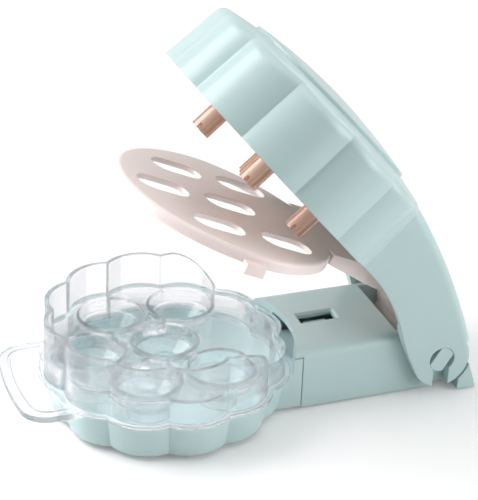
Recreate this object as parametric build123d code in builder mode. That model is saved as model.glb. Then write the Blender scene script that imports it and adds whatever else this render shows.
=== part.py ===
from build123d import *
from math import cos, pi, radians, sin, sqrt
import os

# A hand-operated pitter for six cherries. A lever head with six rods closes
# over a clear tray of cups, which stands on a bowl that catches the stones.
# The head and the stripper plate turn on one cross shaft at the rear of the
# base arm. Millimetres, +Z up, +X from the handle towards the hinge. The
# origin is on the table under the middle of the whole pitter.

# Cups on a triangular pitch, with twelve petals round them
seat_pitch = 30.0
petal_count = 12
cup_r = 13.0
bowl_border = 6.5
bowl_rim_crown = seat_pitch + cup_r + bowl_border

# Layout along the pitter
handle_length = 15.5
handle_reach = bowl_rim_crown + handle_length
arm_length = 60.5
hinge_reach = bowl_rim_crown + arm_length
heel_reach = 16.5
hinge_z = 16.0
bowl_x = (handle_reach - hinge_reach - heel_reach) / 2
hinge_x = bowl_x + hinge_reach

# How far the lever head and the stripper plate stand open at rest
head_open = 49.3
plate_open = 23.5

# Clearances
slide_gap = 0.3
seat_gap = 0.2
turn_gap = 0.08
snug_gap = 0.05
swing_gap = 0.5
close_gap = 0.4
tray_sweep_gap = 1.0

# Feet
foot_r = 5.0
foot_drop = 0.8
foot_sink = 1.0
foot_inset = 2.0

# Pit bowl
bowl_bottom_z = 1.5
bowl_height = 15.5
bowl_rim_z = bowl_bottom_z + bowl_height
bowl_flare = 2.9
bowl_foot_crown = bowl_rim_crown - bowl_flare
bowl_petal = 2.5
bowl_wall = 2.0
bowl_floor = 2.4
bowl_edge_r = 2.4
bowl_foot_inset = 12.6
bowl_foot_ring = bowl_foot_crown - bowl_foot_inset
bowl_foot_count = 3
bowl_foot_start = 60.0
neck_angle = 45.0

# Base arm
arm_half = 24.6
arm_wall = 2.5
ear_r = 11.3
arm_step = 0.4
arm_top_z = hinge_z + ear_r + arm_step
arm_margin = 1.1
arm_front = bowl_rim_crown + arm_margin
well_length = 17.4
arm_edge = hinge_reach - well_length
arm_edge_r = 5.0
ear_thick = 5.1
ear_inner = arm_half - ear_thick
notch_half = 5.0
notch_offset = 2.6
notch_rise = 2.2
window_setback = 15.2
window_x = arm_front + window_setback
window_length = 15.6
window_width = 7.0
window_chamfer = 0.9
well_floor = 3.2
well_gap = 1.2
shoulder_drop = 3.5
shoulder_z = arm_top_z - shoulder_drop
floor_thick = 2.0

# Neck of the bowl and its tongue in the arm
tongue_half = 12.0
tongue_root = 1.0
tongue_length = 25.0
tongue_top_z = 16.0
tongue_thick = 3.0
tongue_rib = 2.0
tongue_rib_depth = 8.0
catch_length = 10.0
catch_half = 3.0
catch_gap = 1.3

# Cherry tray
tray_draft = 0.4
tray_foot_crown = bowl_rim_crown - slide_gap
tray_rim_crown = tray_foot_crown - tray_draft
tray_petal = 3.2
tray_wall = 1.8
flange_z = bowl_rim_z + seat_gap
flange_lip = 1.8
flange_crown = bowl_rim_crown + flange_lip
flange_petal = 2.6
flange_thick = 1.2
deck_rise = 10.8
tray_deck_z = flange_z + deck_rise
wall_rise = 14.0
tray_rim_z = tray_deck_z + wall_rise
cup_depth = 10.0
cup_wall = 1.5
cup_taper = 1.4
cup_waist_r = cup_r - cup_taper
cup_waist_depth = 6.2
drop_length = 5.4
web_r = 4.6
web_depth = 5.0
web_taper = 0.6
spigot_depth = 2.0
low_edge_x = 33.0
low_edge_rise = 0.5
low_edge_z = tray_deck_z + low_edge_rise
high_edge_x = 17.0
wall_bend_x = 26.6
wall_bend_drop = 4.2
handle_half = 28.0
handle_corner = 11.0
handle_thick = 2.5
handle_bow = 3.0
groove_inset = 3.2
groove_width = 0.8
groove_depth = 0.4

# Lever head, closed. The heights stack up from the tray's rim: the plate,
# the carrier with the rods, the seat of the cap and the top of the crown.
plate_rise = 3.0
plate_top_z = tray_rim_z + plate_rise
carrier_rise = 3.3
carrier_z = plate_top_z + carrier_rise
cap_seat_rise = 1.0
cap_seat_z = carrier_z + cap_seat_rise
crown_rise = 6.0
apex_z = cap_seat_z + crown_rise
head_rim_z = flange_z + flange_thick + seat_gap
handle_top_z = head_rim_z - close_gap
head_room = 5.4
head_rim_crown = flange_crown + head_room
head_draft = 1.7
head_top_crown = head_rim_crown - head_draft
head_petal = 3.0
head_wall = 2.2
head_roof = 2.4
neck_roof = 3.0
apex_x = 4.0
front_crown_r = 206.0
rear_crown_r = 275.0
cross_crown_r = 220.0
crown_span = 60.0
head_edge_r = 4.5
lever_step = 0.4
lever_edge_r = 4.0
cheek_inner = arm_half + swing_gap
cheek_thick = 4.9
cheek_half = cheek_inner + cheek_thick
cheek_border = 1.2
cheek_end_r = ear_r + cheek_border
heel_half = cheek_half + swing_gap
lever_end = 2.5
lever_wall = 2.6
thin_cheek_back = 26.0
thin_cheek_x = hinge_reach - thin_cheek_back
cheek_front = 20.0
cheek_drop_back = 55.0
cheek_drop_x = hinge_reach - cheek_drop_back
cheek_turn_back = 24.0
cheek_turn_drop = 4.6
cheek_turn = (hinge_reach - cheek_turn_back, hinge_z - cheek_turn_drop)
cheek_toe_back = 4.3
cheek_toe_drop = 11.7
cheek_toe = (hinge_reach - cheek_toe_back, hinge_z - cheek_toe_drop)
petal_room_drop = 0.5
petal_room_z = plate_top_z - petal_room_drop
plate_room = 0.7
plate_room_z = carrier_z - seat_gap
neck_room_drop = 1.5
neck_room_z = plate_room_z - neck_room_drop
cheek_room_drop = 2.7
cheek_room_z = plate_room_z - cheek_room_drop
cap_border = 15.0
cap_r = head_top_crown - cap_border
cap_step = 1.2
cap_ledge = 2.8
cap_pockets = ((3.0, 1.7), (18.0, 3.6))

# Hinge shaft with double-D ends
shaft_r = 5.5
flat_gap = 6.7
shaft_end = cheek_half - seat_gap
release_open = 82.0
flat_tilt = 57.3
slot_play = 0.4

# Pitting rods and their carrier
rod_r = 4.25
rod_play = 2.35
drop_r = rod_r + rod_play
rod_out = 4.3
rod_tip_z = tray_deck_z - cup_depth - drop_length - rod_out
rod_flange = 1.35
rod_flange_r = rod_r + rod_flange
rod_flange_thick = 1.0
rod_flute_r = 1.4
rod_flute_out = 0.42
rod_flute_count = 4
rod_notch_width = 2.6
rod_notch = 2.4
carrier_thick = 2.0
carrier_border = 0.7
carrier_rim_r = rod_flange_r + carrier_border
screw_r = 1.5
screw_head_r = 2.6
screw_head_depth = 1.1
carrier_screw_length = 5.4
floor_screw_length = 9.0
boss_r = 3.6

# Stripper plate, turned down flat
plate_side_gap = 0.6
plate_reach = head_top_crown - head_petal - head_wall - plate_side_gap
plate_r = plate_reach - plate_room
plate_shift = 6.8
plate_thick = 2.0
plate_lip = 4.5
plate_lip_wall = 2.2
plate_edge_r = 1.8
plate_corner_r = 25.0
slot_front = 5.2
slot_rear = 17.0
slot_width = 13.0
neck_side_gap = 1.1
neck_half = cheek_inner - neck_side_gap
neck_end_half = ear_inner - plate_side_gap
neck_root = 5.2
neck_start = plate_reach - neck_root
neck_thick = 2.4
neck_rim_drop = 8.0
neck_rim_z = plate_top_z - neck_rim_drop
barrel_wall = 2.9
barrel_r = shaft_r + barrel_wall
neck_bend_back = 48.0
neck_bend_x = hinge_reach - neck_bend_back
neck_hip_drop = 9.5
neck_hip_z = plate_top_z - neck_hip_drop
neck_waist_x = thin_cheek_x
neck_step = 1.0
lug_back = 8.0
lug_length = 8.0
lug_thick = 1.6
lug_drop = 2.5
lug_gap = 1.5
lug_root = 1.5

seat_rise = seat_pitch * sin(pi / 3)
half_pitch = seat_pitch / 2
seats = [
    (-seat_pitch, 0),
    (0, 0),
    (-half_pitch, seat_rise),
    (half_pitch, seat_rise),
    (-half_pitch, -seat_rise),
    (half_pitch, -seat_rise),
]
hinge_axis = Axis((hinge_x, 0, hinge_z), (0, 1, 0))


def at_bowl(z):
    """Plane over the bowl's axis at height z."""
    return Plane((bowl_x, 0, z))


def side(y=0.0):
    """Upright plane along the pitter, with X from the bowl's axis and Y up."""
    return Plane(origin=(bowl_x, y, 0), x_dir=(1, 0, 0), z_dir=(0, -1, 0))


def around(radius, degrees):
    """Point at a radius and an angle from +X."""
    return (radius * cos(radians(degrees)), radius * sin(radians(degrees)))


def flower(crown, petal):
    """Face of round petals, with a crown on +X and cusps half way between."""
    half = 180.0 / petal_count
    with BuildSketch() as outline:
        with BuildLine():
            for n in range(petal_count):
                middle = 2 * half * n
                ThreePointArc(
                    around(crown - petal, middle - half),
                    around(crown, middle),
                    around(crown - petal, middle + half),
                )
        make_face()
    return outline.sketch


def crown_height(x):
    """Height of the head's top along its middle, at x from the bowl's axis."""
    radius = front_crown_r if x < apex_x else rear_crown_r
    return apex_z - radius + sqrt(radius**2 - (x - apex_x) ** 2)


def crown_line(drop, front, rear):
    """Top of the head in side view, from x front to x rear, lowered by drop."""
    stations = (front, (front + apex_x) / 2, apex_x, (rear + apex_x) / 2, rear)
    ends = [(x, crown_height(x) - drop) for x in stations]
    with BuildLine() as line:
        ThreePointArc(*ends[:3])
        ThreePointArc(*ends[2:])
        Polyline(ends[4], (rear, 0), (front, 0), ends[0])
    return line.line


def crown_body(drop):
    """Everything under the head's crowned top, lowered by drop."""
    crown_axis = Axis((0, 0, apex_z - cross_crown_r), (1, 0, 0))
    with BuildPart() as body:
        with BuildSketch(side()):
            with BuildLine():
                add(crown_line(drop, -handle_reach, hinge_reach + heel_reach))
            make_face()
        revolve(axis=crown_axis, revolution_arc=crown_span)
    return body.part.rotate(crown_axis, -crown_span / 2)


def screw(length, grow=0.0):
    """Countersunk screw pointing up from the origin, grown by grow."""
    with BuildPart() as body:
        with BuildSketch(Plane.XZ):
            Polygon(
                (0, 0),
                (screw_head_r + grow, 0),
                (screw_r + grow, screw_head_depth + grow),
                (screw_r + grow, length + grow),
                (0, length + grow),
                align=None,
            )
        revolve(axis=Axis.Z)
    return body.part


def handle_outline(inset):
    """Tray handle in plan, with a bowed front edge and round corners."""
    front = inset - handle_reach
    half = handle_half - inset
    with BuildSketch() as outline:
        with BuildLine():
            ThreePointArc((front + handle_bow, -half), (front, 0), (front + handle_bow, half))
            Polyline(
                (front + handle_bow, half),
                (handle_half - handle_reach, half),
                (handle_half - handle_reach, -half),
                (front + handle_bow, -half),
            )
        make_face()
        fillet(outline.vertices().group_by(Axis.X)[0], handle_corner - inset)
    return outline.sketch


def plate_outline(inset):
    """Round plate, trimmed at the rear to pass inside the head's cusps."""
    with BuildSketch() as outline:
        with Locations((plate_shift, 0)):
            Circle(plate_r - inset)
        Circle(plate_reach - inset, mode=Mode.INTERSECT)
        fillet(outline.vertices(), plate_corner_r - inset)
    return outline.sketch


def neck_outline(inset):
    """Neck of the plate in plan, wide at the plate and narrow at its barrel."""
    with BuildSketch() as outline:
        Polygon(
            (0, inset - neck_half),
            (neck_bend_x, inset - neck_half),
            (neck_waist_x, inset - neck_end_half),
            (hinge_reach + 2 * barrel_r, inset - neck_end_half),
            (hinge_reach + 2 * barrel_r, neck_end_half - inset),
            (neck_waist_x, neck_end_half - inset),
            (neck_bend_x, neck_half - inset),
            (0, neck_half - inset),
            align=None,
        )
    return outline.sketch


def cone_cup(grow, top, bottom):
    """Cup and drop tube about the origin, grown outwards by grow."""
    with BuildPart() as cup:
        with BuildSketch(Plane.XZ):
            Polygon(
                (0, top),
                (cup_r + grow, top),
                (cup_waist_r + grow, tray_deck_z - cup_waist_depth),
                (drop_r + grow, tray_deck_z - cup_depth - grow),
                (drop_r + grow, bottom),
                (0, bottom),
                align=None,
            )
        revolve(axis=Axis.Z)
    return cup.part


def web_pocket(grow, top, drop):
    """Three-sided pocket between three cups, about the origin, from top down by drop."""
    with BuildPart() as pocket:
        with BuildSketch(Plane((0, 0, top))):
            RegularPolygon(web_r + 2 * grow, 3)
        with BuildSketch(Plane((0, 0, top - drop))):
            RegularPolygon(web_taper * web_r + 2 * grow, 3)
        loft(ruled=True)
    return pocket.part


os.makedirs("parts", exist_ok=True)

# Pit bowl, with the neck and the tongue that plug it into the base arm
neck_front = bowl_foot_crown * cos(radians(neck_angle))
neck_back = arm_front - slide_gap
tray_sweep_r = flange_crown + tray_sweep_gap
with BuildPart() as pit_bowl:
    with BuildSketch(at_bowl(bowl_bottom_z)):
        add(flower(bowl_foot_crown, bowl_petal))
    with BuildSketch(at_bowl(bowl_rim_z)):
        add(flower(bowl_rim_crown, bowl_petal))
    loft(ruled=True)
    fillet(pit_bowl.edges().group_by(Axis.Z)[0], bowl_edge_r)
    with BuildSketch(side()):
        with Locations(((neck_front + neck_back) / 2, (bowl_bottom_z + bowl_rim_z) / 2)):
            Rectangle(neck_back - neck_front, bowl_rim_z - bowl_bottom_z)
    extrude(amount=arm_half, both=True)
    with BuildSketch(side()):
        with Locations(((neck_front + neck_back) / 2, (bowl_rim_z + shoulder_z - slide_gap) / 2)):
            Rectangle(neck_back - neck_front, shoulder_z - slide_gap - bowl_rim_z)
    extrude(amount=arm_half, both=True)
    with BuildSketch(at_bowl(bowl_rim_z)):
        Circle(tray_sweep_r)
    extrude(amount=tray_rim_z, mode=Mode.SUBTRACT)
    # Inside of the bowl
    with BuildSketch(at_bowl(bowl_bottom_z + bowl_floor)):
        add(flower(bowl_foot_crown - bowl_wall, bowl_petal))
    with BuildSketch(at_bowl(bowl_rim_z + seat_gap)):
        add(flower(bowl_rim_crown - bowl_wall, bowl_petal))
    loft(ruled=True, mode=Mode.SUBTRACT)
    # Tongue with two ribs and the catch that stands under the arm's window
    with BuildSketch(side()):
        with Locations((neck_back - tongue_root, tongue_top_z)):
            Rectangle(tongue_length, tongue_thick, align=(Align.MIN, Align.MAX))
    extrude(amount=tongue_half, both=True)
    for rib_y in (-tongue_half, tongue_half - tongue_rib):
        with BuildSketch(side(rib_y + tongue_rib)):
            with Locations((neck_back - tongue_root, tongue_top_z)):
                Rectangle(tongue_length, tongue_rib_depth, align=(Align.MIN, Align.MAX))
        extrude(amount=tongue_rib)
    with BuildSketch(side()):
        with Locations((window_x, tongue_top_z - tongue_root)):
            Rectangle(
                catch_length,
                arm_top_z - arm_wall - catch_gap - tongue_top_z + tongue_root,
                align=(Align.CENTER, Align.MIN),
            )
    extrude(amount=catch_half, both=True)
    with BuildSketch(at_bowl(bowl_bottom_z)):
        with PolarLocations(bowl_foot_ring, bowl_foot_count, start_angle=bowl_foot_start):
            Circle(foot_r + seat_gap)
    extrude(amount=foot_sink, mode=Mode.SUBTRACT)
pit_bowl.part.label = "pit_bowl"
export_step(pit_bowl.part, "parts/pit_bowl.step")

# Rubber feet under the bowl
for n in range(bowl_foot_count):
    with BuildPart() as bowl_foot:
        with BuildSketch(at_bowl(0)):
            with Locations(around(bowl_foot_ring, bowl_foot_start + n * 360 / bowl_foot_count)):
                Circle(foot_r)
        extrude(amount=bowl_bottom_z + foot_sink)
        chamfer(bowl_foot.edges().group_by(Axis.Z)[0], foot_drop / 2)
    bowl_foot.part.label = f"bowl_foot_{n + 1}"
    export_step(bowl_foot.part, f"parts/bowl_foot_{n + 1}.step")

# Base arm: a hollow housing with a socket for the bowl's tongue in front,
# ears for the hinge shaft behind and a heel that spreads under the cheeks
heel_front = hinge_reach + notch_offset + notch_half + swing_gap
screw_x = (arm_front + arm_wall + boss_r, arm_edge - arm_wall - boss_r)
screw_y = arm_half - arm_wall - boss_r
floor_spots = [(x, y) for x in screw_x for y in (-screw_y, screw_y)]
floor_feet = [(sum(screw_x) / 2, foot_inset - screw_y), (sum(screw_x) / 2, screw_y - foot_inset)]
heel_foot_x = arm_edge + foot_r + foot_inset
heel_feet = [(heel_foot_x, foot_r - ear_inner), (heel_foot_x, ear_inner - foot_r)]
with BuildPart() as base_arm:
    with BuildSketch(side()):
        Polygon(
            (arm_front, foot_drop),
            (arm_edge, foot_drop),
            (arm_edge, arm_top_z),
            (neck_front, arm_top_z),
            (neck_front, shoulder_z),
            (arm_front, shoulder_z),
            align=None,
        )
        Polygon(
            (arm_edge, foot_drop),
            (hinge_reach + heel_reach, foot_drop),
            (hinge_reach + ear_r, hinge_z),
            (hinge_reach, hinge_z),
            (hinge_reach, hinge_z + ear_r),
            (arm_edge, hinge_z + ear_r),
            align=None,
        )
        with Locations((hinge_reach, hinge_z)):
            Circle(ear_r)
    extrude(amount=arm_half, both=True)
    fillet(base_arm.faces().sort_by(Axis.Z)[-1].edges().filter_by(Axis.X), arm_edge_r)
    with BuildSketch(at_bowl(bowl_rim_z)):
        Circle(tray_sweep_r + slide_gap)
    extrude(amount=tray_rim_z, mode=Mode.SUBTRACT)
    # Heel behind and under the round ends of the cheeks
    with BuildSketch(side()):
        Polygon(
            (heel_front, foot_drop),
            (hinge_reach + heel_reach, foot_drop),
            (hinge_reach + ear_r, hinge_z),
            (heel_front, hinge_z),
            align=None,
        )
        with Locations((hinge_reach, hinge_z)):
            Circle(cheek_end_r + swing_gap, mode=Mode.SUBTRACT)
    extrude(amount=heel_half, both=True)
    # Hollow underside
    with BuildSketch(Plane((bowl_x, 0, foot_drop))):
        with Locations(((arm_front + arm_edge) / 2, 0)):
            Rectangle(arm_edge - arm_front - 2 * arm_wall, 2 * (arm_half - arm_wall))
    extrude(amount=arm_top_z - arm_wall - foot_drop, mode=Mode.SUBTRACT)
    with BuildSketch(at_bowl(foot_drop + floor_thick + seat_gap)):
        with Locations(*floor_spots):
            Circle(boss_r)
    extrude(amount=arm_top_z - arm_wall - floor_thick - foot_drop)
    with Locations(*[(bowl_x + x, y, foot_drop) for x, y in floor_spots]):
        add(screw(floor_screw_length, snug_gap), mode=Mode.SUBTRACT)
    with BuildSketch(at_bowl(foot_drop)):
        with Locations(*heel_feet):
            Circle(foot_r + seat_gap)
    extrude(amount=foot_sink, mode=Mode.SUBTRACT)
    # Socket for the tongue, open to the front
    with BuildSketch(side()):
        Polygon(
            (neck_front, tongue_top_z - tongue_rib_depth - slide_gap),
            (arm_front + 2 * arm_wall, tongue_top_z - tongue_rib_depth - slide_gap),
            (arm_front + 2 * arm_wall, arm_top_z - arm_wall),
            (neck_front, arm_top_z - arm_wall),
            align=None,
        )
    extrude(amount=tongue_half + slide_gap, both=True, mode=Mode.SUBTRACT)
    # Window over the catch
    with BuildSketch(Plane((bowl_x, 0, arm_top_z))):
        with Locations((window_x, 0)):
            Rectangle(window_length, window_width)
    extrude(amount=-2 * arm_wall, mode=Mode.SUBTRACT)
    window_rim = base_arm.faces().sort_by(Axis.Z)[-1].inner_wires().edges()
    chamfer(window_rim, window_chamfer)
    # Well for the plate's barrel, between the ears
    with BuildSketch(side()):
        Polygon(
            (arm_edge, foot_drop + well_floor),
            (hinge_reach + barrel_r + well_gap, foot_drop + well_floor),
            (hinge_reach + barrel_r + well_gap, tray_rim_z),
            (arm_edge, tray_rim_z),
            align=None,
        )
    extrude(amount=ear_inner, both=True, mode=Mode.SUBTRACT)
    # Lifting notch under the heel, and the shaft's bore through the ears
    notch_r = (notch_half**2 + notch_rise**2) / (2 * notch_rise)
    with BuildSketch(side()):
        with Locations((hinge_reach + notch_offset, foot_drop + notch_rise - notch_r)):
            Circle(notch_r)
        with Locations((hinge_reach, hinge_z)):
            Circle(shaft_r + snug_gap)
    extrude(amount=heel_half, both=True, mode=Mode.SUBTRACT)
base_arm.part.label = "base_arm"
export_step(base_arm.part, "parts/base_arm.step")

# Floor plate that closes the arm's underside, with its screws
with BuildPart() as base_floor:
    with BuildSketch(Plane((bowl_x, 0, foot_drop))):
        with Locations(((arm_front + arm_edge) / 2, 0)):
            Rectangle(
                arm_edge - arm_front - 2 * arm_wall - 2 * seat_gap,
                2 * (arm_half - arm_wall - seat_gap),
            )
    extrude(amount=floor_thick)
    with Locations(*[(bowl_x + x, y, foot_drop) for x, y in floor_spots]):
        add(screw(floor_screw_length, seat_gap), mode=Mode.SUBTRACT)
    with BuildSketch(at_bowl(foot_drop)):
        with Locations(*floor_feet):
            Circle(foot_r + seat_gap)
    extrude(amount=foot_sink, mode=Mode.SUBTRACT)
base_floor.part.label = "base_floor"
export_step(base_floor.part, "parts/base_floor.step")

with BuildPart() as floor_screws:
    for x, y in floor_spots:
        with Locations((bowl_x + x, y, foot_drop)):
            add(screw(floor_screw_length))
floor_screws.part.label = "floor_screws"
export_step(floor_screws.part, "parts/floor_screws.step")

# Rubber feet under the arm
for n, spot in enumerate(floor_feet + heel_feet):
    with BuildPart() as arm_foot:
        with BuildSketch(at_bowl(0)):
            with Locations(spot):
                Circle(foot_r)
        extrude(amount=foot_drop + foot_sink)
        chamfer(arm_foot.edges().group_by(Axis.Z)[0], foot_drop / 2)
    arm_foot.part.label = f"arm_foot_{n + 1}"
    export_step(arm_foot.part, f"parts/arm_foot_{n + 1}.step")

# Hinge shaft: round in the base and the plate, double-D in the cheeks
with BuildPart() as hinge_shaft:
    with BuildSketch(side()):
        with Locations((hinge_reach, hinge_z)):
            Circle(shaft_r)
    extrude(amount=arm_half, both=True)
    with BuildSketch(side()):
        with Locations((hinge_reach, hinge_z)):
            Circle(shaft_r)
            Rectangle(2 * shaft_r, flat_gap, rotation=flat_tilt, mode=Mode.INTERSECT)
    extrude(amount=shaft_end, both=True)
hinge_shaft.part.label = "hinge_shaft"
export_step(hinge_shaft.part, "parts/hinge_shaft.step")

# Clear tray: petal wall, deck, cups with drop tubes, flange and handle
bowl_slope = (bowl_rim_crown - bowl_foot_crown) / (bowl_rim_z - bowl_bottom_z)
spigot_crown = bowl_rim_crown - bowl_wall - bowl_slope * spigot_depth - slide_gap
web_spots = [
    Location((bowl_x + x, hand * y, 0), (0, 0, hand * turn))
    for x, y, turn in ((-half_pitch, seat_rise / 3, 30), (0, 2 * seat_rise / 3, 90))
    for hand in (-1, 1)
]
with BuildPart() as cherry_tray:
    # Handle, hooked over the bowl's rim, with a line round its border
    with BuildSketch(at_bowl(handle_top_z)):
        add(handle_outline(0))
    extrude(amount=-handle_thick)
    with BuildSketch(at_bowl(handle_top_z)):
        add(handle_outline(groove_inset))
        add(handle_outline(groove_inset + groove_width), mode=Mode.SUBTRACT)
    extrude(amount=-groove_depth, mode=Mode.SUBTRACT)
    with BuildSketch(at_bowl(flange_z)):
        Circle(bowl_rim_crown + seat_gap + slide_gap)
    extrude(amount=-handle_thick, mode=Mode.SUBTRACT)
    with BuildSketch(at_bowl(flange_z)):
        add(flower(tray_foot_crown, tray_petal))
    with BuildSketch(at_bowl(tray_rim_z)):
        add(flower(tray_rim_crown, tray_petal))
    loft(ruled=True)
    with BuildSketch(at_bowl(flange_z)):
        add(flower(flange_crown, flange_petal))
    extrude(amount=flange_thick)
    with BuildSketch(at_bowl(flange_z)):
        add(flower(spigot_crown, bowl_petal))
    extrude(amount=-spigot_depth)
    # Inside above the deck, and underside below it
    with BuildSketch(at_bowl(tray_deck_z)):
        add(flower(tray_foot_crown - tray_wall, tray_petal))
    with BuildSketch(at_bowl(tray_rim_z)):
        add(flower(tray_rim_crown - tray_wall, tray_petal))
    loft(ruled=True, mode=Mode.SUBTRACT)
    with BuildSketch(at_bowl(flange_z - spigot_depth)):
        add(flower(spigot_crown - tray_wall, bowl_petal))
    extrude(amount=tray_deck_z - tray_wall - flange_z + spigot_depth, mode=Mode.SUBTRACT)
    with Locations(*[(bowl_x + x, y, 0) for x, y in seats]):
        add(cone_cup(cup_wall, tray_deck_z, tray_deck_z - cup_depth - drop_length))
    with Locations(*web_spots):
        add(web_pocket(cup_wall, tray_deck_z, web_depth + cup_wall))
    with Locations(*[(bowl_x + x, y, 0) for x, y in seats]):
        add(cone_cup(0, tray_deck_z, 0), mode=Mode.SUBTRACT)
    with Locations(*web_spots):
        add(web_pocket(0, tray_deck_z, web_depth), mode=Mode.SUBTRACT)
    # The wall falls away towards the hinge
    with BuildSketch(side()):
        with BuildLine():
            ThreePointArc(
                (high_edge_x, tray_rim_z),
                (wall_bend_x, tray_rim_z - wall_bend_drop),
                (low_edge_x, low_edge_z),
            )
            Polyline(
                (low_edge_x, low_edge_z),
                (arm_edge, low_edge_z),
                (arm_edge, tray_rim_z + 1),
                (high_edge_x, tray_rim_z + 1),
                (high_edge_x, tray_rim_z),
            )
        make_face()
    extrude(amount=flange_crown, both=True, mode=Mode.SUBTRACT)
cherry_tray.part.label = "cherry_tray"
export_step(cherry_tray.part, "parts/cherry_tray.step")

# Lever head, made closed and then turned up about the shaft. Its top is one
# crowned surface, and the cap lies in that surface over the rods.
bore_point = (hinge_reach, hinge_z)
lever_rear = hinge_reach + lever_end
slot_angle = flat_tilt - 180 + release_open
roof_top = crown_body(0)
lever_top = crown_body(lever_step)
cap_top = crown_body(-cap_step)

with BuildPart() as head_space:
    with BuildSketch(at_bowl(head_rim_z)):
        add(flower(head_rim_crown - head_wall, head_petal))
    with BuildSketch(at_bowl(petal_room_z)):
        add(flower(head_top_crown - head_wall, head_petal))
    loft(ruled=True)
    with BuildSketch(at_bowl(head_rim_z)):
        with Locations((plate_shift, 0)):
            Circle(plate_r + plate_room)
        Circle(plate_reach + plate_side_gap, mode=Mode.INTERSECT)
    extrude(amount=plate_room_z - head_rim_z)
    with BuildSketch(side()):
        Polygon(
            (seat_pitch, 0),
            (lever_rear - lever_wall, 0),
            (lever_rear - lever_wall, crown_height(lever_rear) - 2 * head_roof),
            (thin_cheek_x, crown_height(thin_cheek_x) - neck_roof),
            (neck_bend_x, neck_room_z),
            (seat_pitch, plate_room_z),
            align=None,
        )
    extrude(amount=cheek_inner, both=True)
    with BuildSketch(side()):
        Polygon(
            (seat_pitch, 0),
            (thin_cheek_x, 0),
            (thin_cheek_x, crown_height(thin_cheek_x) - 3 * head_roof),
            (neck_bend_x, cheek_room_z),
            (seat_pitch, cheek_room_z),
            align=None,
        )
    extrude(amount=cheek_half - lever_wall, both=True)
    with BuildSketch(side()):
        with Locations(bore_point):
            Circle(cheek_end_r + swing_gap)
    extrude(amount=cheek_inner, both=True)

# The petals stand a little proud of the lever, and both end in round edges
with BuildPart() as head_petals:
    with BuildSketch(at_bowl(head_rim_z)):
        add(flower(head_rim_crown, head_petal))
    with BuildSketch(at_bowl(apex_z + 1)):
        add(flower(head_top_crown, head_petal))
    loft(ruled=True)
    add(roof_top, mode=Mode.INTERSECT)
    crowned = head_petals.faces().filter_by(GeomType.REVOLUTION)
    seam = crowned[0].edges() & crowned[1].edges()
    fillet(crowned.edges() - seam, head_edge_r)

with BuildPart() as lever:
    with BuildSketch(side()):
        with BuildLine():
            Line((cheek_front, head_rim_z), (cheek_drop_x, head_rim_z))
            hollow = TangentArc((cheek_drop_x, head_rim_z), cheek_turn, tangent=(1, 0))
            belly = TangentArc(cheek_turn, cheek_toe, tangent=hollow % 1)
            Polyline(
                cheek_toe,
                bore_point,
                (lever_rear, hinge_z),
                (lever_rear, apex_z),
                (cheek_front, apex_z),
                (cheek_front, head_rim_z),
            )
        make_face()
        with Locations(bore_point):
            Circle(cheek_end_r)
    extrude(amount=cheek_half, both=True)
    add(lever_top, mode=Mode.INTERSECT)
    lever_edges = lever.faces().filter_by(GeomType.REVOLUTION).edges().sort_by(Axis.Y)
    fillet([lever_edges[0], lever_edges[-1]], lever_edge_r)

with BuildPart() as head_closed:
    add(head_petals.part)
    add(lever.part)
    add(head_space.part, mode=Mode.SUBTRACT)
    with BuildSketch(at_bowl(cap_seat_z)):
        Circle(cap_r + seat_gap)
    extrude(amount=apex_z, mode=Mode.SUBTRACT)
    with BuildSketch(at_bowl(head_rim_z)):
        Circle(cap_r - cap_ledge)
    extrude(amount=apex_z, mode=Mode.SUBTRACT)
    with BuildSketch(side()):
        with Locations(bore_point):
            Circle(shaft_r + turn_gap)
        with Locations(bore_point):
            Rectangle(
                2 * cheek_end_r,
                flat_gap + slot_play,
                rotation=slot_angle,
                align=(Align.MIN, Align.CENTER),
            )
    extrude(amount=cheek_half, both=True, mode=Mode.SUBTRACT)
with BuildPart() as head_shell:
    add(head_closed.part.rotate(hinge_axis, head_open))
head_shell.part.label = "head_shell"
export_step(head_shell.part, "parts/head_shell.step")

# Cap over the rods, with bosses for the carrier's screws
carrier_top = carrier_z + carrier_thick
screw_spots = [(-half_pitch, seat_rise / 3), (-half_pitch, -seat_rise / 3), (half_pitch, 0)]
with BuildPart() as cap_closed:
    with BuildSketch(at_bowl(cap_seat_z)):
        Circle(cap_r)
    extrude(amount=apex_z)
    add(cap_top, mode=Mode.INTERSECT)
    for inset, rise in cap_pockets:
        with BuildSketch(at_bowl(0)):
            Circle(cap_r - inset)
            with Locations(*screw_spots):
                Circle(boss_r, mode=Mode.SUBTRACT)
        extrude(amount=cap_seat_z + rise, mode=Mode.SUBTRACT)
    with BuildSketch(at_bowl(0)):
        Circle(cap_r - cap_pockets[0][0])
    extrude(amount=carrier_top + seat_gap, mode=Mode.SUBTRACT)
    with Locations(*[(bowl_x + x, y, carrier_z) for x, y in screw_spots]):
        add(screw(carrier_screw_length, snug_gap), mode=Mode.SUBTRACT)
with BuildPart() as head_cap:
    add(cap_closed.part.rotate(hinge_axis, head_open))
head_cap.part.label = "head_cap"
export_step(head_cap.part, "parts/head_cap.step")

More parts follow.
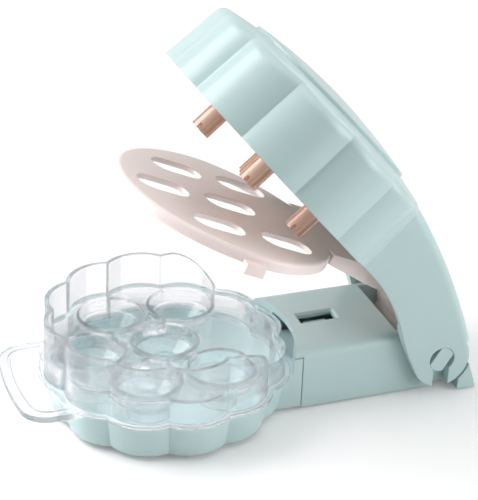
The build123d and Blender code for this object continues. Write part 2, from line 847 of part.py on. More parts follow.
# Carrier plate that holds the rods by their flanges
with BuildPart() as carrier_closed:
    with BuildSketch(at_bowl(carrier_z)):
        with Locations(*seats):
            Circle(carrier_rim_r)
        make_hull()
    extrude(amount=carrier_thick)
    with BuildSketch(at_bowl(carrier_z)):
        with Locations(*seats):
            Circle(rod_r + seat_gap)
    extrude(amount=carrier_thick, mode=Mode.SUBTRACT)
    with BuildSketch(at_bowl(carrier_top)):
        with Locations(*seats):
            Circle(rod_flange_r + seat_gap)
    extrude(amount=-rod_flange_thick, mode=Mode.SUBTRACT)
    with Locations(*[(bowl_x + x, y, carrier_z) for x, y in screw_spots]):
        add(screw(carrier_screw_length, seat_gap), mode=Mode.SUBTRACT)
with BuildPart() as rod_carrier:
    add(carrier_closed.part.rotate(hinge_axis, head_open))
rod_carrier.part.label = "rod_carrier"
export_step(rod_carrier.part, "parts/rod_carrier.step")

with BuildPart() as carrier_screws:
    for x, y in screw_spots:
        driven = Pos(bowl_x + x, y, carrier_z) * screw(carrier_screw_length)
        add(driven.rotate(hinge_axis, head_open))
carrier_screws.part.label = "carrier_screws"
export_step(carrier_screws.part, "parts/carrier_screws.step")

# Pitting rods: four flutes, a toothed tip and a flange in the carrier
for n, (x, y) in enumerate(seats):
    with BuildPart() as rod_closed:
        with BuildSketch(at_bowl(rod_tip_z)):
            with Locations((x, y)):
                Circle(rod_r)
                with PolarLocations(rod_r + rod_flute_out, rod_flute_count):
                    Circle(rod_flute_r, mode=Mode.SUBTRACT)
        extrude(amount=carrier_top - rod_tip_z)
        with BuildSketch(at_bowl(carrier_top)):
            with Locations((x, y)):
                Circle(rod_flange_r)
        extrude(amount=-rod_flange_thick)
        with BuildSketch(at_bowl(rod_tip_z)):
            with Locations(Location((x, y), 45), Location((x, y), 135)):
                Rectangle(3 * rod_r, rod_notch_width / 2)
        extrude(amount=rod_notch, mode=Mode.SUBTRACT)
    with BuildPart() as pitting_rod:
        add(rod_closed.part.rotate(hinge_axis, head_open))
    pitting_rod.part.label = f"pitting_rod_{n + 1}"
    export_step(pitting_rod.part, f"parts/pitting_rod_{n + 1}.step")

# Stripper plate, made flat and then turned up about the shaft
lip_z = plate_top_z - plate_lip
neck_top = [
    (neck_start, plate_top_z),
    (neck_bend_x, plate_top_z),
    (arm_edge, neck_hip_z),
    (hinge_reach + neck_step, hinge_z + barrel_r),
    (hinge_reach - barrel_r, hinge_z),
]
neck_under = [
    (arm_edge + neck_step, neck_hip_z - 1.5 * neck_thick),
    (neck_bend_x - 2 * neck_step, plate_top_z - neck_thick),
    (neck_start, plate_top_z - neck_thick),
]
neck_low = [
    (arm_edge + neck_step, neck_hip_z - 2 * neck_thick),
    (neck_bend_x, neck_rim_z),
    (neck_start, lip_z),
]
with BuildPart() as neck:
    with BuildSketch(side()):
        Polygon(*neck_top, *neck_under, align=None)
    extrude(amount=neck_half, both=True)
    with BuildSketch(at_bowl(0)):
        add(neck_outline(0))
    extrude(amount=apex_z, mode=Mode.INTERSECT)

with BuildPart() as neck_rims:
    with BuildSketch(side()):
        Polygon(*neck_top, *neck_low, align=None)
    extrude(amount=neck_half, both=True)
    with BuildSketch(at_bowl(0)):
        add(neck_outline(0))
        add(neck_outline(plate_lip_wall), mode=Mode.SUBTRACT)
    extrude(amount=apex_z, mode=Mode.INTERSECT)

with BuildPart() as plate_flat:
    with BuildSketch(at_bowl(plate_top_z)):
        add(plate_outline(0))
    extrude(amount=-plate_lip)
    fillet(plate_flat.edges().group_by(Axis.Z)[-1], plate_edge_r)
    with BuildSketch(at_bowl(plate_top_z - plate_thick)):
        add(plate_outline(plate_lip_wall))
    extrude(amount=-plate_lip, mode=Mode.SUBTRACT)
    add(neck.part)
    add(neck_rims.part)
    with BuildSketch(side()):
        with Locations(bore_point):
            Circle(barrel_r)
    extrude(amount=neck_end_half, both=True)
    with BuildSketch(side()):
        with Locations(bore_point):
            Circle(shaft_r + turn_gap)
    extrude(amount=neck_end_half, both=True, mode=Mode.SUBTRACT)
    with BuildSketch(at_bowl(plate_top_z)):
        with Locations(*[(x + (slot_rear - slot_front) / 2, y) for x, y in seats]):
            SlotOverall(slot_front + slot_rear, slot_width)
    extrude(amount=-plate_thick, mode=Mode.SUBTRACT)
    # Guide lugs that hang outside the tray's wall
    with BuildSketch(Plane((bowl_x + plate_shift - lug_back, 0, 0), x_dir=(0, 1, 0), z_dir=(1, 0, 0))):
        for hand in (-1, 1):
            Polygon(
                (hand * (plate_r - lug_root), lip_z),
                (hand * (tray_rim_crown + lug_gap), lip_z),
                (hand * (tray_rim_crown + lug_gap), lip_z - lug_drop),
                (hand * (tray_rim_crown + lug_gap + lug_thick), lip_z - lug_drop),
                (hand * (tray_rim_crown + lug_gap + lug_thick), lip_z + lug_thick),
                (hand * (plate_r - lug_root), lip_z + lug_thick),
                align=None,
            )
    extrude(amount=lug_length / 2, both=True)
with BuildPart() as stripper_plate:
    add(plate_flat.part.rotate(hinge_axis, plate_open))
stripper_plate.part.label = "stripper_plate"
export_step(stripper_plate.part, "parts/stripper_plate.step")
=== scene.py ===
import math

import bpy
from mathutils import Matrix, Vector

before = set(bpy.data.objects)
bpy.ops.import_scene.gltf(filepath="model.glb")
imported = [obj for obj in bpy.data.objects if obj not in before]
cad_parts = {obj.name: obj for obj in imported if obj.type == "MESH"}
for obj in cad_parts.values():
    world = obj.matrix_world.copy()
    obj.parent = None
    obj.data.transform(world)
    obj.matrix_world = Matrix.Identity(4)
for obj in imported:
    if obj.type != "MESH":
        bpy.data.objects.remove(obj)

bl_info = {
    "name": "Cherry pitter",
    "version": (1, 0, 0),
    "blender": (4, 5, 0),
    "location": "View3D > Sidebar > Pitter",
    "description": "Materials, edge rounding and a studio for the six-cherry pitter",
    "category": "Object",
}

# Nodes of each finish; the shaft is moulded with the arm's plastic
MINT_NODES = ("pit_bowl", "base_arm", "base_floor", "head_shell", "head_cap", "hinge_shaft")
ROD_NODES = tuple(name for name in sorted(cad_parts) if name.startswith("pitting_rod"))
FOOT_NODES = tuple(name for name in sorted(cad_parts) if "_foot_" in name)
SCREW_NODES = ("carrier_screws", "floor_screws")

# Skin of moulded plastic: noise scales per metre, and what each noise adds to the tone
CLOUD_SCALE = 28.0
CLOUD_DETAIL = 3.0
CLOUD_SHARE = 0.6
FLOW_SCALE = 140.0
FLOW_DETAIL = 4.0
FLOW_ROUGHNESS = 0.6
FLOW_SHARE = 0.4
FLOW_STRETCH = (0.25, 1.0, 1.0)
GRAIN_DETAIL = 2.0

# Edges: how fast the edge mask fills as an edge turns; the mask places painted edge highlights and
# painted edge lines
EDGE_SAMPLES = 6
EDGE_GAIN = 4.0
EDGE_DETAIL = 3.0

# Dust lies where a face's normal rises above this slope
DUST_SLOPE = 0.6
DUST_DETAIL = 6.0
DUST_ROUGHNESS = 0.7
DUST_COLOUR = (0.8, 0.79, 0.77, 1)

# Opaque plastic: lengths in metres
PLASTIC_IOR = 1.49
COAT_ROUGHNESS = 0.08
GRAIN_DEPTH = 0.00005
# How far toward white the painted edge highlight takes the colour
EDGE_HIGHLIGHT_DEPTH = 0.55
SOFT_RADIUS = (1.0, 0.9, 0.85)
SOFT_DEPTH = 0.0012

# Clear plastic: lengths in metres; the see-through share keeps six walls in a row clear
CLEAR_IOR = 1.5
CLEAR_EDGE = 0.0006
CLEAR_PATCHINESS = 90.0
CLEAR_BUMP = 0.12
CLEAR_BUMP_DEPTH = 0.0002
CLEAR_SHADOW = (0.87, 0.87, 0.89, 1)
# How fast walls seen along are painted toward the dark line colour
ALONG_POWER = 3.0
SEE_THROUGH = 0.26
SEE_THROUGH_LOSS = 0.1

# Screws
STEEL_EDGE = 0.0003
STEEL_BUMP = 0.3
STEEL_GRAIN_DEPTH = 0.00003

# Camera: place in metres, line of sight, roll, and focal length in pixels of a picture this high
IMAGE_HEIGHT = 500
CAMERA_PLACE = (-0.20271, -0.53379, 0.36002)
CAMERA_SIGHT = (0.31473, 0.82971, -0.46101)
CAMERA_ROLL = math.radians(2.1)
FOCAL_PIXELS = 1620.7
SENSOR_MM = 36.0
CLIP_NEAR = 0.01
CLIP_FAR = 20.0

# Lamps: name of their power, place and size in metres
LAMP_TARGET = (0, 0, 0.06)
LAMPS = (
    ("key", (-0.68, 0.39, 0.76), (0.74, 0.56)),
    ("fill", (0.80, -0.70, 0.25), (1.0, 0.8)),
    ("side", (-0.93, 0.16, 0.19), (0.4, 0.4)),
    ("rim", (0.80, 0.56, 0.34), (0.6, 0.5)),
    ("top", (0.0, -0.10, 1.10), (0.9, 0.9)),
)

# Floor, a hair under the feet. It pales with distance, to meet the background.
FLOOR_HALF = 3.0
FLOOR_DROP = 0.0001
FIBRE_SCALE = 220.0
FIBRE_DETAIL = 5.0
FIBRE_ROUGHNESS = 0.6
FIBRE_SHADE = 0.99
PAPER_ROUGHNESS = 0.6
PAPER_SPECULAR = 0.1
PALE_START = 0.25
PALE_END = 1.2
PALE_NEAR = 0.14
PALE_FAR = 0.8

# Background: direction of the room's darker front, and where it starts and is full
WHITE = (1, 1, 1, 1)
ROOM_COLOUR = (0.98, 0.99, 1, 1)
ROOM_FRONT = (-0.35, -0.92, 0.15)
FRONT_START = 0.2
FRONT_FULL = 0.85


# Nodes that groups and materials share

def feed(tree, socket, value):
    """Links a socket to another, or sets it to a number or colour."""
    if isinstance(value, bpy.types.NodeSocket):
        tree.links.new(value, socket)
    else:
        socket.default_value = value


def math_node(tree, operation, first, second, clamp=False):
    """Math node fed by sockets or numbers."""
    node = tree.nodes.new("ShaderNodeMath")
    node.operation = operation
    node.use_clamp = clamp
    feed(tree, node.inputs[0], first)
    feed(tree, node.inputs[1], second)
    return node.outputs[0]


def noise_node(tree, place, scale, detail, rough=0.5):
    """Noise over the piece, at a scale per metre."""
    node = tree.nodes.new("ShaderNodeTexNoise")
    tree.links.new(place, node.inputs["Vector"])
    feed(tree, node.inputs["Scale"], scale)
    node.inputs["Detail"].default_value = detail
    node.inputs["Roughness"].default_value = rough
    return node.outputs["Fac"]


def mix_colour(tree, share, first, second, mode="MIX"):
    """Colour mix fed by sockets or plain colours."""
    node = tree.nodes.new("ShaderNodeMix")
    node.data_type = "RGBA"
    node.blend_type = mode
    for socket, value in ((node.inputs[0], share), (node.inputs[6], first), (node.inputs[7], second)):
        feed(tree, socket, value)
    return node.outputs[2]


def ramp(tree, value, start, end, low, high):
    """Straight ramp from low at start to high at end, held beyond both."""
    node = tree.nodes.new("ShaderNodeMapRange")
    node.inputs["From Min"].default_value = start
    node.inputs["From Max"].default_value = end
    node.inputs["To Min"].default_value = low
    node.inputs["To Max"].default_value = high
    tree.links.new(value, node.inputs["Value"])
    return node.outputs[0]


def mix_shaders(tree, share, first, second, output):
    """Puts a mix of two shaders on a tree's output."""
    node = tree.nodes.new("ShaderNodeMixShader")
    tree.links.new(share, node.inputs[0])
    tree.links.new(first.outputs[0], node.inputs[1])
    tree.links.new(second.outputs[0], node.inputs[2])
    tree.links.new(node.outputs[0], output.inputs["Surface"])


def seen_directly(tree):
    """Light Path node, and a mask of the rays that come straight or through the clear tray."""
    path = tree.nodes.new("ShaderNodeLightPath")
    straight, through = path.outputs["Is Camera Ray"], path.outputs["Is Transmission Ray"]
    return path, math_node(tree, "MAXIMUM", straight, through)


# Shader node groups

def new_group(name, inputs, outputs):
    """Empty shader group with float, colour or vector sockets."""
    kinds = {"f": "NodeSocketFloat", "c": "NodeSocketColor", "v": "NodeSocketVector"}
    group = bpy.data.node_groups.new(name, "ShaderNodeTree")
    for label, kind, default in inputs:
        socket = group.interface.new_socket(name=label, in_out="INPUT", socket_type=kinds[kind])
        socket.default_value = default
    for label, kind in outputs:
        group.interface.new_socket(name=label, in_out="OUTPUT", socket_type=kinds[kind])
    enter = group.nodes.new("NodeGroupInput")
    leave = group.nodes.new("NodeGroupOutput")
    return group, enter, leave


def moulded_skin():
    """Group for injection-moulded plastic: colour drift, flow lines, uneven roughness and grain."""
    found = bpy.data.node_groups.get("moulded_skin")
    if found:
        return found
    group, enter, leave = new_group(
        "moulded_skin",
        [
            ("Colour", "c", (0.5, 0.5, 0.5, 1)),
            ("Drift", "f", 0.05),
            ("Roughness", "f", 0.3),
            ("Roughness Drift", "f", 0.08),
            ("Grain Scale", "f", 1400.0),
        ],
        [("Colour", "c"), ("Roughness", "f"), ("Height", "f")],
    )
    place = group.nodes.new("ShaderNodeTexCoord").outputs["Object"]
    cloud = noise_node(group, place, CLOUD_SCALE, CLOUD_DETAIL)
    stretch = group.nodes.new("ShaderNodeMapping")
    stretch.inputs["Scale"].default_value = FLOW_STRETCH
    group.links.new(place, stretch.inputs["Vector"])
    flow = noise_node(group, stretch.outputs[0], FLOW_SCALE, FLOW_DETAIL, FLOW_ROUGHNESS)
    cloud_part = math_node(group, "MULTIPLY", cloud, CLOUD_SHARE)
    flow_part = math_node(group, "MULTIPLY", flow, FLOW_SHARE)
    shade = math_node(group, "SUBTRACT", math_node(group, "ADD", cloud_part, flow_part), 0.5)
    tone = math_node(group, "MULTIPLY", shade, enter.outputs["Drift"])
    tone = math_node(group, "ADD", math_node(group, "MULTIPLY", tone, 2.0), 1.0)
    grey = group.nodes.new("ShaderNodeCombineColor")
    for socket in grey.inputs:
        group.links.new(tone, socket)
    colour = mix_colour(group, 1.0, enter.outputs["Colour"], grey.outputs[0], "MULTIPLY")
    uneven = math_node(group, "SUBTRACT", flow, 0.5)
    rough = math_node(group, "MULTIPLY", uneven, enter.outputs["Roughness Drift"])
    rough = math_node(group, "ADD", rough, enter.outputs["Roughness"], clamp=True)
    grain = noise_node(group, place, enter.outputs["Grain Scale"], GRAIN_DETAIL)
    group.links.new(colour, leave.inputs["Colour"])
    group.links.new(rough, leave.inputs["Roughness"])
    group.links.new(grain, leave.inputs["Height"])
    return group


def handled_edges():
    """Group that finds sharp edges: a mask of their width, broken into patches by noise, that places
    painted edge highlights and painted edge lines, and a softened normal.
    """
    found = bpy.data.node_groups.get("handled_edges")
    if found:
        return found
    group, enter, leave = new_group(
        "handled_edges",
        [("Width", "f", 0.0006), ("Patchiness", "f", 60.0)],
        [("Mask", "f"), ("Normal", "v")],
    )
    soft = group.nodes.new("ShaderNodeBevel")
    soft.samples = EDGE_SAMPLES
    group.links.new(enter.outputs["Width"], soft.inputs["Radius"])
    true_normal = group.nodes.new("ShaderNodeNewGeometry").outputs["Normal"]
    turn = group.nodes.new("ShaderNodeVectorMath")
    turn.operation = "DOT_PRODUCT"
    group.links.new(soft.outputs[0], turn.inputs[0])
    group.links.new(true_normal, turn.inputs[1])
    bend = math_node(group, "SUBTRACT", 1.0, turn.outputs["Value"], clamp=True)
    bend = math_node(group, "MULTIPLY", bend, EDGE_GAIN, clamp=True)
    place = group.nodes.new("ShaderNodeTexCoord").outputs["Object"]
    patch = noise_node(group, place, enter.outputs["Patchiness"], EDGE_DETAIL)
    group.links.new(math_node(group, "MULTIPLY", bend, patch), leave.inputs["Mask"])
    group.links.new(soft.outputs[0], leave.inputs["Normal"])
    return group


def settled_dust():
    """Group that finds faces looking up, broken by noise, where fine dust settles."""
    found = bpy.data.node_groups.get("settled_dust")
    if found:
        return found
    group, enter, leave = new_group(
        "settled_dust",
        [("Amount", "f", 0.1), ("Scale", "f", 90.0)],
        [("Mask", "f")],
    )
    geometry = group.nodes.new("ShaderNodeNewGeometry")
    split = group.nodes.new("ShaderNodeSeparateXYZ")
    group.links.new(geometry.outputs["Normal"], split.inputs[0])
    up = math_node(group, "SUBTRACT", split.outputs[2], DUST_SLOPE, clamp=True)
    place = group.nodes.new("ShaderNodeTexCoord").outputs["Object"]
    patch = noise_node(group, place, enter.outputs["Scale"], DUST_DETAIL, DUST_ROUGHNESS)
    lying = math_node(group, "MULTIPLY", up, patch)
    mask = math_node(group, "MULTIPLY", lying, enter.outputs["Amount"], clamp=True)
    group.links.new(mask, leave.inputs["Mask"])
    return group


def place_group(tree, group, **values):
    """Node of a group in a material, with its values; words in names join with spaces."""
    node = tree.nodes.new("ShaderNodeGroup")
    node.node_tree = group
    for name, value in values.items():
        feed(tree, node.inputs[name.replace("_", " ")], value)
    return node


# Materials

def clean_material(name):
    """New material with only an output and a Principled shader."""
    material = bpy.data.materials.new(name)
    material.use_nodes = True
    tree = material.node_tree
    tree.nodes.clear()
    shader = tree.nodes.new("ShaderNodeBsdfPrincipled")
    output = tree.nodes.new("ShaderNodeOutputMaterial")
    tree.links.new(shader.outputs[0], output.inputs["Surface"])
    return material, tree, shader


def add_relief(tree, shader, skin, edges, strength, depth):
    """Gives a shader the skin's grain in relief over the softened edges."""
    relief = tree.nodes.new("ShaderNodeBump")
    relief.inputs["Strength"].default_value = strength
    relief.inputs["Distance"].default_value = depth
    tree.links.new(skin.outputs["Height"], relief.inputs["Height"])
    tree.links.new(edges.outputs["Normal"], relief.inputs["Normal"])
    tree.links.new(relief.outputs[0], shader.inputs["Normal"])


def moulded_plastic(name, colour, drift, rough, rough_drift, grain, bump, edge, highlight_lift,
                    dust=0.0, coat=0.0, soft=0.0):
    """Opaque moulded plastic.

    drift and rough_drift are how far colour and roughness wander, grain is its scale per metre,
    edge the width of an edge in metres, the argument after it how much paler a painted edge
    highlight makes the colour, soft the subsurface share.
    """
    material, tree, shader = clean_material(name)
    skin = place_group(tree, moulded_skin(), Colour=(*colour, 1), Drift=drift, Roughness=rough,
                       Roughness_Drift=rough_drift, Grain_Scale=grain)
    edges = place_group(tree, handled_edges(), Width=edge)
    # Painted highlight: edges are painted paler, in patches, where the edge mask fills
    pale = tuple(1 - (1 - c) * EDGE_HIGHLIGHT_DEPTH for c in colour)
    edge_highlight = math_node(tree, "MULTIPLY", edges.outputs["Mask"], highlight_lift, clamp=True)
    shown = mix_colour(tree, edge_highlight, skin.outputs["Colour"], (*pale, 1))
    dull = skin.outputs["Roughness"]
    if dust:
        settled = place_group(tree, settled_dust(), Amount=dust)
        shown = mix_colour(tree, settled.outputs["Mask"], shown, DUST_COLOUR)
        dull = math_node(tree, "ADD", dull, settled.outputs["Mask"], clamp=True)
    tree.links.new(shown, shader.inputs["Base Color"])
    tree.links.new(dull, shader.inputs["Roughness"])
    add_relief(tree, shader, skin, edges, bump, GRAIN_DEPTH)
    shader.inputs["IOR"].default_value = PLASTIC_IOR
    shader.inputs["Coat Weight"].default_value = coat
    shader.inputs["Coat Roughness"].default_value = COAT_ROUGHNESS
    if soft:
        shader.inputs["Subsurface Weight"].default_value = soft
        shader.inputs["Subsurface Radius"].default_value = SOFT_RADIUS
        shader.inputs["Subsurface Scale"].default_value = SOFT_DEPTH
    return material


def clear_plastic(name, tint, line):
    """Water-clear moulded styrene. Each wall tints a little; edges and walls seen along get painted
    shade, dark lines in the line colour.
    """
    material, tree, shader = clean_material(name)
    skin = place_group(tree, moulded_skin(), Colour=(*tint, 1), Drift=0.01, Roughness=0.0,
                       Roughness_Drift=0.02, Grain_Scale=260.0)
    edges = place_group(tree, handled_edges(), Width=CLEAR_EDGE, Patchiness=CLEAR_PATCHINESS)
    # Painted shade: edges are painted in the dark line colour
    painted_edge_lines = mix_colour(tree, edges.outputs["Mask"], skin.outputs["Colour"], (*line, 1))
    tree.links.new(painted_edge_lines, shader.inputs["Base Color"])
    tree.links.new(skin.outputs["Roughness"], shader.inputs["Roughness"])
    add_relief(tree, shader, skin, edges, CLEAR_BUMP, CLEAR_BUMP_DEPTH)
    shader.inputs["IOR"].default_value = CLEAR_IOR
    shader.inputs["Transmission Weight"].default_value = 1.0
    path = tree.nodes.new("ShaderNodeLightPath")
    facing = tree.nodes.new("ShaderNodeLayerWeight")
    facing.inputs["Blend"].default_value = 0.5
    # Painted shade: walls seen along are painted toward the dark line colour too
    along = math_node(tree, "POWER", facing.outputs["Facing"], ALONG_POWER)
    clear = mix_colour(tree, along, painted_edge_lines, (*line, 1))
    shaded = mix_colour(tree, path.outputs["Is Shadow Ray"], clear, CLEAR_SHADOW)
    through = tree.nodes.new("ShaderNodeBsdfTransparent")
    tree.links.new(shaded, through.inputs["Color"])
    loss = math_node(tree, "MULTIPLY", facing.outputs["Facing"], SEE_THROUGH_LOSS)
    thin = math_node(tree, "SUBTRACT", SEE_THROUGH, loss)
    thin = math_node(tree, "MAXIMUM", path.outputs["Is Shadow Ray"], thin)
    mix_shaders(tree, thin, shader, through, tree.nodes["Material Output"])
    return material


def turned_steel(name, colour):
    """Machined steel with a fine grain and a few smudges."""
    material, tree, shader = clean_material(name)
    skin = place_group(tree, moulded_skin(), Colour=(*colour, 1), Drift=0.08, Roughness=0.28,
                       Roughness_Drift=0.15, Grain_Scale=5000.0)
    edges = place_group(tree, handled_edges(), Width=STEEL_EDGE)
    tree.links.new(skin.outputs["Colour"], shader.inputs["Base Color"])
    tree.links.new(skin.outputs["Roughness"], shader.inputs["Roughness"])
    add_relief(tree, shader, skin, edges, STEEL_BUMP, STEEL_GRAIN_DEPTH)
    shader.inputs["Metallic"].default_value = 1.0
    return material


def dress(names, material):
    """Gives CAD nodes a material."""
    for name in names:
        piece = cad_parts[name]
        piece.data.materials.clear()
        piece.data.materials.append(material)


# Studio

def add_lamp(name, place, size, power):
    """Soft rectangular lamp that looks at the pitter."""
    data = bpy.data.lights.new(name, "AREA")
    data.shape = "RECTANGLE"
    data.size, data.size_y = size
    data.energy = power
    lamp = bpy.data.objects.new(name, data)
    lamp.location = place
    toward = Vector(LAMP_TARGET) - Vector(place)
    lamp.rotation_euler = toward.to_track_quat("-Z", "Y").to_euler()
    bpy.context.scene.collection.objects.link(lamp)


def make_floor(colour):
    """Pale paper floor that keeps the pitter's shadow and fades into the background."""
    low, high = -FLOOR_HALF, FLOOR_HALF
    mesh = bpy.data.meshes.new("floor")
    corners = ((low, low, 0), (high, low, 0), (high, high, 0), (low, high, 0))
    mesh.from_pydata(corners, [], [(0, 1, 2, 3)])
    floor = bpy.data.objects.new("floor", mesh)
    floor.location.z = -FLOOR_DROP
    bpy.context.scene.collection.objects.link(floor)
    material, tree, shader = clean_material("floor_paper")
    place = tree.nodes.new("ShaderNodeTexCoord").outputs["Object"]
    fibre = noise_node(tree, place, FIBRE_SCALE, FIBRE_DETAIL, FIBRE_ROUGHNESS)
    darker = tuple(c * FIBRE_SHADE for c in colour)
    tone = mix_colour(tree, fibre, (*darker, 1), (*colour, 1))
    tree.links.new(tone, shader.inputs["Base Color"])
    shader.inputs["Roughness"].default_value = PAPER_ROUGHNESS
    shader.inputs["Specular IOR Level"].default_value = PAPER_SPECULAR
    shader.inputs["Emission Color"].default_value = WHITE
    seen = seen_directly(tree)[1]
    reach = tree.nodes.new("ShaderNodeVectorMath")
    reach.operation = "LENGTH"
    tree.links.new(place, reach.inputs[0])
    pale = ramp(tree, reach.outputs["Value"], PALE_START, PALE_END, PALE_NEAR, PALE_FAR)
    tree.links.new(math_node(tree, "MULTIPLY", seen, pale), shader.inputs["Emission Strength"])
    mesh.materials.append(material)


def make_world(ambient, front):
    """White background. Its light on the pitter is weaker and comes less from the room's front."""
    world = bpy.data.worlds.new("studio_light")
    bpy.context.scene.world = world
    world.use_nodes = True
    tree = world.node_tree
    tree.nodes.clear()
    toward = tree.nodes.new("ShaderNodeVectorMath")
    toward.operation = "DOT_PRODUCT"
    tree.links.new(tree.nodes.new("ShaderNodeTexCoord").outputs["Generated"], toward.inputs[0])
    toward.inputs[1].default_value = ROOM_FRONT
    room = ramp(tree, toward.outputs["Value"], FRONT_START, FRONT_FULL, 1.0, front)
    path, seen = seen_directly(tree)
    strength = math_node(tree, "MAXIMUM", path.outputs["Is Glossy Ray"], ambient)
    around = tree.nodes.new("ShaderNodeBackground")
    around.inputs["Color"].default_value = ROOM_COLOUR
    tree.links.new(math_node(tree, "MULTIPLY", strength, room), around.inputs["Strength"])
    white = tree.nodes.new("ShaderNodeBackground")
    white.inputs["Color"].default_value = WHITE
    white.inputs["Strength"].default_value = 1.0
    mix_shaders(tree, seen, around, white, tree.nodes.new("ShaderNodeOutputWorld"))


def make_camera():
    """Camera at the photograph's place, with its roll and focal length."""
    sight = Vector(CAMERA_SIGHT).normalized()
    level = sight.cross(Vector((0, 0, 1))).normalized()
    above = level.cross(sight)
    right = level * math.cos(CAMERA_ROLL) + above * math.sin(CAMERA_ROLL)
    up = above * math.cos(CAMERA_ROLL) - level * math.sin(CAMERA_ROLL)
    data = bpy.data.cameras.new("camera")
    data.sensor_width = SENSOR_MM
    data.lens = FOCAL_PIXELS * SENSOR_MM / IMAGE_HEIGHT
    data.clip_start, data.clip_end = CLIP_NEAR, CLIP_FAR
    camera = bpy.data.objects.new("camera", data)
    turned = Matrix((right, up, -sight)).transposed().to_4x4()
    camera.matrix_world = Matrix.Translation(CAMERA_PLACE) @ turned
    bpy.context.scene.collection.objects.link(camera)
    bpy.context.scene.camera = camera


# Properties

class PitterColours(bpy.types.PropertyGroup):
    """Colours of the finishes"""
    mint: bpy.props.FloatVectorProperty(
        name="Mint", description="Colour of the bowl, the arm and the lever head",
        subtype="COLOR", size=3, min=0, max=1, default=(0.495, 0.650, 0.645))
    blush: bpy.props.FloatVectorProperty(
        name="Blush", description="Colour of the stripper plate",
        subtype="COLOR", size=3, min=0, max=1, default=(0.93, 0.80, 0.77))
    peach: bpy.props.FloatVectorProperty(
        name="Peach", description="Colour of the rods and their carrier",
        subtype="COLOR", size=3, min=0, max=1, default=(0.90, 0.56, 0.43))
    clear: bpy.props.FloatVectorProperty(
        name="Clear", description="Tint that each wall of the tray adds",
        subtype="COLOR", size=3, min=0, max=1, default=(0.985, 0.983, 0.99))
    # Colour of the painted shade: dark lines on the tray's edges and on its walls seen along
    line: bpy.props.FloatVectorProperty(
        name="Edge line", description="Tint of the tray's edges and of its walls seen along",
        subtype="COLOR", size=3, min=0, max=1, default=(0.42, 0.42, 0.50))
    foot: bpy.props.FloatVectorProperty(
        name="Foot", description="Colour of the rubber feet",
        subtype="COLOR", size=3, min=0, max=1, default=(0.42, 0.47, 0.47))
    steel: bpy.props.FloatVectorProperty(
        name="Steel", description="Colour of the screws",
        subtype="COLOR", size=3, min=0, max=1, default=(0.62, 0.62, 0.61))


class PitterStudio(bpy.types.PropertyGroup):
    """Lamps, room and floor"""
    key: bpy.props.FloatProperty(
        name="Key", description="Power of the wide lamp at the back left",
        unit="POWER", min=0, default=7.2)
    fill: bpy.props.FloatProperty(
        name="Fill", description="Power of the wide low lamp at the right",
        unit="POWER", min=0, default=8.1)
    top: bpy.props.FloatProperty(
        name="Top", description="Power of the lamp overhead",
        unit="POWER", min=0, default=3.3)
    side: bpy.props.FloatProperty(
        name="Side", description="Power of the low lamp at the left",
        unit="POWER", min=0, default=2.6)
    rim: bpy.props.FloatProperty(
        name="Rim", description="Power of the low lamp at the back right",
        unit="POWER", min=0, default=0.6)
    ambient: bpy.props.FloatProperty(
        name="Ambient", description="Strength of the light from all round",
        subtype="FACTOR", min=0, max=1, default=0.40)
    front: bpy.props.FloatProperty(
        name="Front", description="Share of that light that comes from the front of the room",
        subtype="FACTOR", min=0, max=1, default=0.2)
    floor: bpy.props.FloatVectorProperty(
        name="Floor", description="Colour of the floor",
        subtype="COLOR", size=3, min=0, max=1, default=(0.86, 0.86, 0.86))


# Operators, one for each piece or group of like pieces and one for the stage

class PITTER_OT_mint(bpy.types.Operator):
    """Finishes the bowl, the arm with its floor plate and shaft, and the lever head with its cap"""
    bl_idname = "pitter.mint"
    bl_label = "Mint mouldings"

    def execute(self, context):
        plastic = moulded_plastic(
            "mint_plastic", context.scene.pitter_colours.mint, drift=0.03, rough=0.3,
            rough_drift=0.1, grain=1500.0, bump=0.10, edge=0.0007, highlight_lift=0.5, dust=0.12, coat=0.15)
        dress(MINT_NODES, plastic)
        return {"FINISHED"}


class PITTER_OT_tray(bpy.types.Operator):
    """Finishes the clear tray of cups"""
    bl_idname = "pitter.tray"
    bl_label = "Clear tray"

    def execute(self, context):
        colours = context.scene.pitter_colours
        plastic = clear_plastic("clear_styrene", colours.clear, colours.line)
        dress(("cherry_tray",), plastic)
        return {"FINISHED"}


class PITTER_OT_plate(bpy.types.Operator):
    """Finishes the stripper plate"""
    bl_idname = "pitter.plate"
    bl_label = "Stripper plate"

    def execute(self, context):
        plastic = moulded_plastic(
            "blush_plastic", context.scene.pitter_colours.blush, drift=0.03, rough=0.34,
            rough_drift=0.1, grain=1300.0, bump=0.2, edge=0.0006, highlight_lift=0.4, coat=0.1, soft=0.15)
        dress(("stripper_plate",), plastic)
        return {"FINISHED"}


class PITTER_OT_rods(bpy.types.Operator):
    """Finishes the rods and the carrier that holds them"""
    bl_idname = "pitter.rods"
    bl_label = "Rods and carrier"

    def execute(self, context):
        plastic = moulded_plastic(
            "peach_plastic", context.scene.pitter_colours.peach, drift=0.05, rough=0.16,
            rough_drift=0.08, grain=1800.0, bump=0.10, edge=0.0004, highlight_lift=0.35, coat=0.5)
        dress((*ROD_NODES, "rod_carrier"), plastic)
        return {"FINISHED"}


class PITTER_OT_feet(bpy.types.Operator):
    """Finishes the rubber feet"""
    bl_idname = "pitter.feet"
    bl_label = "Rubber feet"

    def execute(self, context):
        rubber = moulded_plastic(
            "foot_rubber", context.scene.pitter_colours.foot, drift=0.1, rough=0.75,
            rough_drift=0.1, grain=2600.0, bump=0.6, edge=0.0004, highlight_lift=0.3, dust=0.2)
        dress(FOOT_NODES, rubber)
        return {"FINISHED"}


class PITTER_OT_screws(bpy.types.Operator):
    """Finishes the screws"""
    bl_idname = "pitter.screws"
    bl_label = "Screws"

    def execute(self, context):
        steel = turned_steel("screw_steel", context.scene.pitter_colours.steel)
        dress(SCREW_NODES, steel)
        return {"FINISHED"}


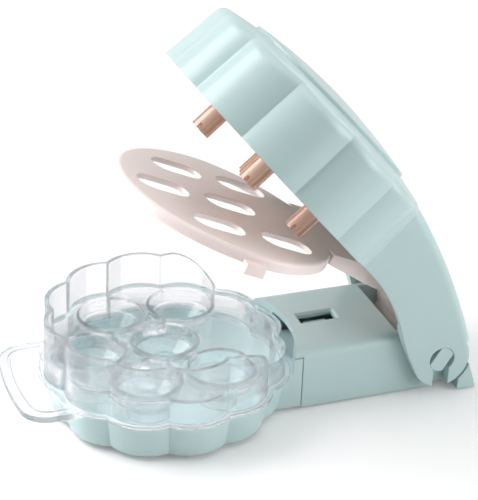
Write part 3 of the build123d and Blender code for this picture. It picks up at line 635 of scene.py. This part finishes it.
class PITTER_OT_stage(bpy.types.Operator):
    """Sets up the lamps, the floor, the background and the camera"""
    bl_idname = "pitter.stage"
    bl_label = "Studio"

    def execute(self, context):
        studio = context.scene.pitter_studio
        for power, place, size in LAMPS:
            add_lamp(power + "_lamp", place, size, getattr(studio, power))
        make_floor(studio.floor)
        make_world(studio.ambient, studio.front)
        make_camera()
        context.scene.view_settings.view_transform = "Standard"
        return {"FINISHED"}


class PITTER_PT_sidebar(bpy.types.Panel):
    """Lists the pitter's pieces and the studio"""
    bl_idname = "PITTER_PT_sidebar"
    bl_label = "Cherry pitter"
    bl_space_type = "VIEW_3D"
    bl_region_type = "UI"
    bl_category = "Pitter"

    def draw(self, context):
        for settings in (context.scene.pitter_colours, context.scene.pitter_studio):
            box = self.layout.box()
            for name in settings.bl_rna.properties.keys():
                if name not in ("name", "rna_type"):
                    box.prop(settings, name)
        for operator in OPERATORS:
            self.layout.operator(operator.bl_idname)


OPERATORS = (
    PITTER_OT_mint,
    PITTER_OT_tray,
    PITTER_OT_plate,
    PITTER_OT_rods,
    PITTER_OT_feet,
    PITTER_OT_screws,
    PITTER_OT_stage,
)
CLASSES = (PitterColours, PitterStudio, *OPERATORS, PITTER_PT_sidebar)


def register():
    """Adds the properties, the operators and the panel."""
    for made in CLASSES:
        bpy.utils.register_class(made)
    bpy.types.Scene.pitter_colours = bpy.props.PointerProperty(type=PitterColours)
    bpy.types.Scene.pitter_studio = bpy.props.PointerProperty(type=PitterStudio)


def unregister():
    """Removes the properties, the operators and the panel."""
    del bpy.types.Scene.pitter_studio
    del bpy.types.Scene.pitter_colours
    for made in reversed(CLASSES):
        bpy.utils.unregister_class(made)


def main():
    """Dresses every piece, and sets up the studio."""
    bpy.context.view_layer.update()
    register()
    bpy.ops.pitter.mint()
    bpy.ops.pitter.tray()
    bpy.ops.pitter.plate()
    bpy.ops.pitter.rods()
    bpy.ops.pitter.feet()
    bpy.ops.pitter.screws()
    bpy.ops.pitter.stage()


if __name__ == "__main__":
    main()
